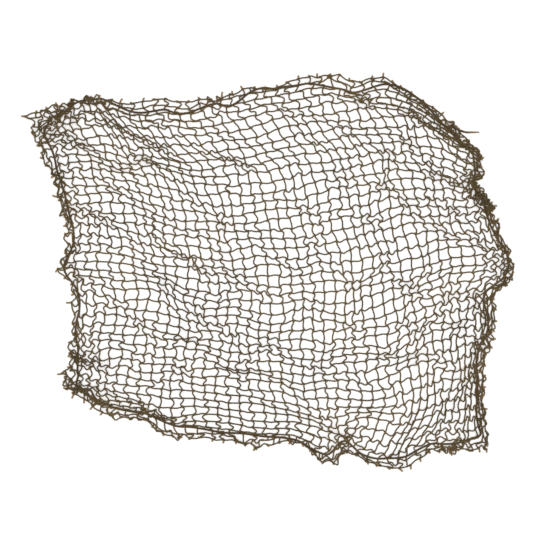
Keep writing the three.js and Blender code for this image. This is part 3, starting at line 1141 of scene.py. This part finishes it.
@dataclass(frozen=True)
class Fray:
    """A spray of fine fibres at a cut tip."""

    fibres: int
    length: float
    radius: float
    spread: float
    shares: Span
    root: float
    sides: int = 3
    taper: tuple[float, ...] = (1.0, 0.8, 0.3)

    def add(self, skin: Skin, tips: Array, headings: Array, random: Random) -> None:
        """Adds the fibres to a skin.

        Args:
            skin: The skin.
            tips: The cut tips.
            headings: The way that each points.
            random: Source of the spray.
        """
        tips, headings = (np.repeat(values, self.fibres, 0) for values in (tips, headings))
        spray = unit(headings + random.normal(0, self.spread, headings.shape))
        reach = self.length * random.uniform(*self.shares, (len(tips), 1, 1))
        rings = len(self.taper)
        steps = np.linspace(self.root, 1, rings)[:, None]
        lines = tips[:, None] + spray[:, None] * steps * reach
        lines[..., 2] = np.maximum(lines[..., 2], self.radius)
        skin.add_tubes(lines, self.radius * np.array(self.taper), self.sides, rings - 1, cut=np.ones(rings))


@dataclass
class CutEnds:
    """The short ends left where the netting was cut from a wider net."""

    netting: Netting
    shortest: float = 1.4
    longest: float = 3.8
    rings: int = 5
    sides: int = 6
    turn_per_ring: float = 0.5
    lead: float = 0.6
    spread: float = 0.75
    lift: float = 0.25
    bow: float = 0.5
    raw_from: float = 0.2
    raw_span: float = 0.5
    root_width: float = 1.05
    tip_swell: float = 0.4
    fray: Fray = Fray(fibres=5, length=1.7, radius=0.11, spread=0.55, shares=(0.5, 1.2), root=-0.25)
    seed: int = 23

    def starts(self) -> tuple[Array, Array]:
        """Border knots, and the way that the cut twine leaves each.

        Returns:
            The knots' places and the ways.
        """
        step = self.netting.parts
        across, down = self.netting.strands
        pairs = [
            (lines[:, end], lines[:, end] - lines[:, inner])
            for lines in (across, down)
            for end, inner in ((0, 2), (-1, -3))
        ]
        knots, ways = (np.concatenate(values) for values in zip(*pairs))
        outward = unit(knots[:, :2] - across[:, ::step, :2].reshape(-1, 2).mean(0))
        ways = unit(ways) * self.lead + np.concatenate([outward, np.zeros((len(knots), 1))], -1)
        return knots, unit(ways)

    def build(self, finish: TwineFinish, origin: Array) -> bpy.types.Object:
        """Makes the cut ends and their fray.

        Args:
            finish: The twine's finish.
            origin: Shift from the lie to the part's frame.

        Returns:
            The piece.
        """
        random = np.random.default_rng(self.seed)
        knots, ways = self.starts()
        count, lobe = len(knots), self.netting.lobe
        bend = random.normal(0, self.spread, (count, 3)) * np.array([1, 1, self.lift])
        length = random.uniform(self.shortest, self.longest, (count, 1, 1))
        along = np.linspace(0, 1, self.rings)
        leave = unit(ways + self.bow * bend)[:, None] * along[:, None]
        lines = knots[:, None] + length * (leave + self.bow * bend[:, None] * along[:, None] ** 2)
        raw = np.clip((along - self.raw_from) / self.raw_span, 0, 1)
        width = self.netting.twine_radius * (self.root_width + self.tip_swell * along**2)
        lines[..., 2] = np.maximum(lines[..., 2], 0) + width * (1 + lobe)
        skin = Skin("cut_ends", origin)
        skin.add_tubes(lines, width, self.sides, self.rings - 1, lobe, self.turn_per_ring, raw)
        self.fray.add(skin, lines[:, -1], unit(lines[:, -1] - lines[:, -2]), random)
        piece = skin.build(finish.material())
        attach(piece, BODY)
        return piece


@dataclass
class Drawcord:
    """The cord threaded through the meshes near the border, with one end of it loose."""

    netting: Netting
    radius: float = 1.15
    sides: int = 12
    lobe: float = 0.1
    lay_length: float = 11.0
    ring_step: float = 1.0
    high: float = 3.0
    meander: float = 2.6
    meander_meshes: float = 3.0
    fine_steps: int = 16
    cell_rings: int = 20
    raw_length: float = 16.0
    tip_taper: float = 0.25
    taper_length: float = 6.0
    heading_rings: int = 3
    fray: Fray = Fray(fibres=14, length=2.6, radius=0.13, spread=0.45, shares=(0.4, 1.2), root=-0.3)
    seed: int = 5

    def crossings(self, side: Side, random: Random) -> Array:
        """Places where the cord crosses the twines of a side, in the order of their count.

        Args:
            side: The side.
            random: Source of the cord's meander.

        Returns:
            The places, with the height that the cord has there.
        """
        netting = self.netting
        meshes = side.run(netting.across, netting.down)
        first, last = (math.ceil(netting.outside(end)) for end in side.ends)
        counts = np.arange(first, meshes - last + 1)
        at = side.run(*netting.to_lie(counts, counts))
        height = np.where(counts % 2 == 0, self.radius, self.high)
        aside = self.meander * netting.wander(counts, self.meander_meshes, random)
        places = netting.lie.cord(side, at) + netting.lie.way_out(side, at) * aside[:, None]
        return np.concatenate([places, height[:, None]], -1)

    def line(self) -> Array:
        """The cord's whole line, evenly stepped.

        Returns:
            Its points.
        """
        random = np.random.default_rng(self.seed)
        runs = {side: self.crossings(side, random) for side in Side}
        top, right = (runs[side][::-1] for side in (Side.TOP, Side.RIGHT))
        whole = np.concatenate([np.array(LOOSE_END), top, runs[Side.LEFT], runs[Side.BOTTOM], right])
        fine = through_points(whole[None], self.fine_steps)[0]
        size = np.linalg.norm(np.diff(fine, axis=0), axis=-1)
        length = np.concatenate([[0], np.cumsum(size)])
        steps = np.linspace(0, length[-1], round(length[-1] / self.ring_step) + 1)
        line = np.stack([np.interp(steps, length, fine[:, k]) for k in range(3)], -1)
        line[:, 2] = np.maximum(line[:, 2], self.radius * (1 + self.lobe))
        return line

    def build(self, finish: TwineFinish, origin: Array) -> bpy.types.Object:
        """Makes the cord and the fray at its loose end.

        Args:
            finish: The cord's finish.
            origin: Shift from the lie to the part's frame.

        Returns:
            The piece.
        """
        random = np.random.default_rng(self.seed)
        line = self.line()
        from_tip = np.arange(len(line)) * self.ring_step
        raw = np.clip(1 - from_tip / self.raw_length, 0, 1)
        width = self.radius * (1 - self.tip_taper * np.exp(-from_tip / self.taper_length))
        skin = Skin("threaded_cord", origin)
        turn = 2 * np.pi * self.ring_step / self.lay_length
        skin.add_tubes(line[None], width, self.sides, self.cell_rings, self.lobe, turn, raw)
        self.fray.add(skin, line[:1], unit(line[:1] - line[self.heading_rings]), random)
        piece = skin.build(finish.material())
        LOG.info("drawcord is %.0f mm long", from_tip[-1])
        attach(piece, BODY)
        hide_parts("drawcord")
        return piece


@dataclass
class LaidFibre:
    """Shader group of twisted fibre: dye faded in patches, painted shade in the grooves between plies, raw
    cut tips.
    """

    name: str = "laid_fibre"
    half_ply: float = 0.5
    groove_span: Span = (0.0, 0.22)
    # How far the colour is darkened as painted shade in the grooves between plies.
    groove_painted_shade: Span = (0.5, 0.0)
    patch_scale: float = 16.0
    patch_detail: float = 3.0
    patch_span: Span = (0.36, 0.66)
    speck_scale: float = 1400.0
    speck_detail: float = 2.0
    speck_span: Span = (0.3, 0.7)
    speck_fade: Span = (0.5, 1.0)
    speck_shade: Span = (0.72, 1.0)
    speck_height: float = 0.5
    roughness: Span = (0.8, 0.98)
    tree: bpy.types.ShaderNodeTree | None = None

    def group(self) -> bpy.types.ShaderNodeTree:
        """The group, made once.

        Returns:
            The group.
        """
        found = bpy.data.node_groups.get(self.name)
        if found:
            return found
        self.tree = bpy.data.node_groups.new(self.name, "ShaderNodeTree")
        sockets = (
            ("INPUT", "Color", ("Dyed", "Faded", "Raw")),
            ("INPUT", "Vector", ("Lay",)),
            ("INPUT", "Float", ("Cut", "Plies per mm")),
            ("OUTPUT", "Color", ("Color",)),
            ("OUTPUT", "Float", ("Roughness", "Height")),
        )
        for way, kind, names in sockets:
            for name in names:
                self.tree.interface.new_socket(name, in_out=way, socket_type=f"NodeSocket{kind}")
        self.wire()
        return self.tree

    def node(self, kind: str, wires: dict[str | int, Wire], **settings: str) -> bpy.types.Node:
        """Adds a node to the group.

        Args:
            kind: Its kind.
            wires: A socket or a number for each of its inputs.
            settings: Its settings.

        Returns:
            The node.
        """
        made = self.tree.nodes.new(f"ShaderNode{kind}")
        for name, value in settings.items():
            setattr(made, name, value)
        for key, value in wires.items():
            if isinstance(value, bpy.types.NodeSocket):
                self.tree.links.new(value, made.inputs[key])
            else:
                made.inputs[key].default_value = value
        return made

    def noise(self, scale: float, detail: float) -> bpy.types.NodeSocket:
        """A noise over the net's own coordinates, by its cells a metre and its detail."""
        place = self.node("TexCoord", {}).outputs["Object"]
        return self.node("TexNoise", {"Vector": place, "Scale": scale, "Detail": detail}).outputs["Fac"]

    def math(self, operation: str, first: Wire, second: Wire) -> bpy.types.NodeSocket:
        """The result of one sum of two values."""
        return self.node("Math", {0: first, 1: second}, operation=operation).outputs[0]

    def spread(self, value: Wire, start: Span, end: Span = (0.0, 1.0)) -> bpy.types.NodeSocket:
        """A value taken from one span to another."""
        spans = {"From Min": start[0], "From Max": start[1], "To Min": end[0], "To Max": end[1]}
        return self.node("MapRange", {"Value": value, **spans}).outputs["Result"]

    def blend(self, amount: Wire, first: Wire, second: Wire, kind: str = "MIX") -> bpy.types.NodeSocket:
        """Two colours blended, by the share of the second."""
        wires = {"Factor": amount, MIX_FIRST: first, MIX_SECOND: second}
        return self.node("Mix", wires, data_type="RGBA", blend_type=kind).outputs[MIX_RESULT]

    def wire(self) -> None:
        """Wires the group's nodes."""
        given = self.tree.nodes.new("NodeGroupInput").outputs
        made = self.tree.nodes.new("NodeGroupOutput").inputs
        split = self.node("SeparateXYZ", {0: given["Lay"]}).outputs
        around = self.math("MULTIPLY", split["X"], PLIES)
        along = self.math("MULTIPLY", split["Y"], given["Plies per mm"])
        ply = self.math("PINGPONG", self.math("ADD", around, along), self.half_ply)
        groove = self.spread(ply, self.groove_span)
        patch = self.spread(self.noise(self.patch_scale, self.patch_detail), self.patch_span)
        speck = self.noise(self.speck_scale, self.speck_detail)
        fade = self.math("MULTIPLY", patch, self.spread(speck, self.speck_span, self.speck_fade))
        colour = self.blend(fade, given["Dyed"], given["Faded"])
        # Painted shade: the colour is darkened along the grooves between the plies, and a little at fine
        # specks elsewhere.
        shade = self.math("MULTIPLY", groove, self.spread(speck, self.speck_span, self.speck_shade))
        depth = self.spread(shade, (0.0, 1.0), self.groove_painted_shade)
        dark = self.blend(depth, colour, given["Dyed"], "MULTIPLY")
        results = {
            "Color": self.blend(given["Cut"], dark, given["Raw"]),
            "Roughness": self.spread(speck, self.speck_span, self.roughness),
            "Height": self.math("ADD", groove, self.math("MULTIPLY", speck, self.speck_height)),
        }
        for name, result in results.items():
            self.tree.links.new(result, made[name])


@dataclass(frozen=True)
class TwineFinish:
    """Dyed cotton: its colours, its plies and its dull nap."""

    name: str
    dyed: tuple[float, float, float]
    faded: tuple[float, float, float]
    raw: tuple[float, float, float]
    plies_per_mm: float
    bump_depth: float = 0.00012
    bump_strength: float = 0.8
    specular: float = 0.2
    nap: float = 0.15
    nap_roughness: float = 0.6

    def material(self) -> bpy.types.Material:
        """The material, made once.

        Returns:
            The material.
        """
        found = bpy.data.materials.get(self.name)
        if found:
            return found
        material = bpy.data.materials.new(self.name)
        material.use_nodes = True
        nodes, links = material.node_tree.nodes, material.node_tree.links
        shader = nodes["Principled BSDF"]
        shader.inputs["Specular IOR Level"].default_value = self.specular
        shader.inputs["Sheen Weight"].default_value = self.nap
        shader.inputs["Sheen Roughness"].default_value = self.nap_roughness
        fibre = nodes.new("ShaderNodeGroup")
        fibre.node_tree = LaidFibre().group()
        for name, colour in (("Dyed", self.dyed), ("Faded", self.faded), ("Raw", self.raw)):
            fibre.inputs[name].default_value = (*colour, 1)
        fibre.inputs["Plies per mm"].default_value = self.plies_per_mm
        lay = nodes.new("ShaderNodeUVMap")
        lay.uv_map = LAY_MAP
        links.new(lay.outputs["UV"], fibre.inputs["Lay"])
        cut = nodes.new("ShaderNodeAttribute")
        cut.attribute_name = CUT_MASK
        links.new(cut.outputs["Fac"], fibre.inputs["Cut"])
        bump = nodes.new("ShaderNodeBump")
        bump.inputs["Strength"].default_value = self.bump_strength
        bump.inputs["Distance"].default_value = self.bump_depth
        links.new(fibre.outputs["Height"], bump.inputs["Height"])
        links.new(fibre.outputs["Color"], shader.inputs["Base Color"])
        links.new(fibre.outputs["Roughness"], shader.inputs["Roughness"])
        links.new(bump.outputs["Normal"], shader.inputs["Normal"])
        return material


@dataclass
class Studio:
    """A pale floor, broad soft light from above and a camera that looks straight down."""

    lens: float = 100.0
    sensor: float = 36.0
    floor_side: float = 6.0
    floor_tone: float = 0.9
    floor_roughness: float = 0.9
    floor_glow: float = 0.4
    lamp_height: float = 2.4
    lamp_side: float = 2.6
    lamp_power: float = 44.0
    sky: float = 0.26
    centre: Span = (1.65, 5.5)

    def build(self, origin: Array) -> None:
        """Sets the floor, the light and the camera.

        Args:
            origin: Shift from the lie to the part's frame.
        """
        self.lay_floor()
        self.hang_lamp()
        self.aim_camera(origin)
        bpy.context.scene.view_settings.view_transform = "Standard"

    def lay_floor(self) -> None:
        """Lays the pale floor."""
        half = self.floor_side / 2
        corners = [(-half, -half, 0), (half, -half, 0), (half, half, 0), (-half, half, 0)]
        mesh = bpy.data.meshes.new("floor")
        mesh.from_pydata(corners, [], [(0, 1, 2, 3)])
        material = bpy.data.materials.new("pale_floor")
        material.use_nodes = True
        shader = material.node_tree.nodes["Principled BSDF"]
        shader.inputs["Base Color"].default_value = (self.floor_tone, self.floor_tone, self.floor_tone, 1)
        shader.inputs["Roughness"].default_value = self.floor_roughness
        shader.inputs["Emission Color"].default_value = (1, 1, 1, 1)
        shader.inputs["Emission Strength"].default_value = self.floor_glow
        mesh.materials.append(material)
        floor = put_in_scene("floor", mesh)

    def hang_lamp(self) -> None:
        """Hangs one broad lamp, and sets the light from all round."""
        lamp = bpy.data.lights.new("broad_lamp", "AREA")
        lamp.size = self.lamp_side
        lamp.energy = self.lamp_power
        hung = put_in_scene("broad_lamp", lamp)
        hung.location = (0, 0, self.lamp_height)
        world = bpy.data.worlds.new("studio")
        world.use_nodes = True
        background = world.node_tree.nodes["Background"]
        background.inputs["Color"].default_value = (1, 1, 1, 1)
        background.inputs["Strength"].default_value = self.sky
        bpy.context.scene.world = world

    def aim_camera(self, origin: Array) -> None:
        """Aims the camera straight down at the photograph's frame.

        Args:
            origin: Shift from the lie to the part's frame.
        """
        data = bpy.data.cameras.new("overhead")
        data.lens = self.lens
        data.sensor_width = self.sensor
        camera = put_in_scene("overhead", data)
        distance = self.lens / self.sensor * PHOTO_SIDE * PIXEL
        place = np.array([*self.centre, distance]) + origin
        camera.location = tuple(place * METRES)
        bpy.context.scene.camera = camera


TWINE = TwineFinish(
    name="dyed_twine",
    dyed=(0.14, 0.093, 0.03),
    faded=(0.24, 0.161, 0.057),
    raw=(0.42, 0.27, 0.12),
    plies_per_mm=0.3,
)
CORD = TwineFinish(
    name="dyed_cord",
    dyed=(0.105, 0.064, 0.024),
    faded=(0.175, 0.108, 0.044),
    raw=(0.42, 0.27, 0.13),
    plies_per_mm=0.27,
)


def middle_of(places: Array) -> Array:
    """Middle of the box round some places on the floor."""
    return 0.5 * (places.reshape(-1, 2).min(0) + places.reshape(-1, 2).max(0))


def main() -> None:
    """Builds the net and its studio."""
    logging.basicConfig(level=logging.INFO, format="%(message)s")
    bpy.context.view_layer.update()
    lie = Lie()
    netting = Netting(lie)
    netting.settle()
    rows, columns = np.meshgrid(np.arange(lie.down + 1), np.arange(lie.across + 1), indexing="ij")
    origin = np.array([*(-middle_of(lie.anywhere(columns, rows))), 0.0])
    LOG.info("the net's middle is at %.2f, %.2f mm of the lie", -origin[0], -origin[1])
    bands = netting.build(TWINE, origin)
    ends = CutEnds(netting).build(TWINE, origin)
    cord = Drawcord(netting).build(CORD, origin)
    Studio().build(origin)
    for piece in (*bands, ends, cord):
        LOG.info("%s has %d faces", piece.name, len(piece.data.polygons))


if __name__ == "__main__":
    main()
